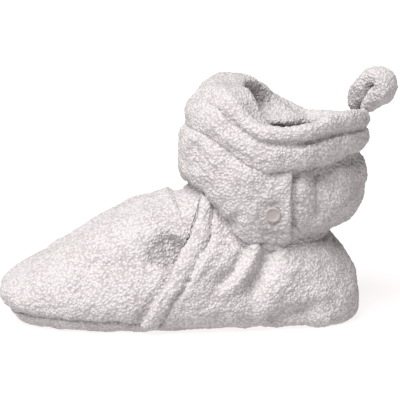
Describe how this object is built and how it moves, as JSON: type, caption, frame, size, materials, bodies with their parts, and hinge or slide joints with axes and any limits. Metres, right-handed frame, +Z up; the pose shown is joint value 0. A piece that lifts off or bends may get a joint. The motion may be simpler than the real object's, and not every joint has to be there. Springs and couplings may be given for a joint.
{
  "type": "baby bootie slipper",
  "caption": "Soft fleece ankle bootie for a baby, with a gathered ankle, a leg tube that ends in a rolled collar, a lapped side flap, a pull loop at the back and a soft flat sole.",
  "frame": {"origin": "on the ground, in the middle of the flat under the sole", "axes": "+X from toe to heel, +Z up, -Y to the side with the flap and its stud"},
  "size_m": [0.1288, 0.057, 0.0819],
  "materials": {
    "outer_fleece": "matt curly pile, pale warm grey",
    "lining_fleece": "matt brushed pile, pale warm grey",
    "stud_plastic": "satin moulded cap"
  },
  "bodies": {
    "root": {"sole": "outer_fleece", "insole": "lining_fleece", "upper": "outer_fleece", "shaft": "outer_fleece", "cuff": "outer_fleece", "pull_loop": "outer_fleece", "stud": "stud_plastic"}
  },
  "joints": []
}
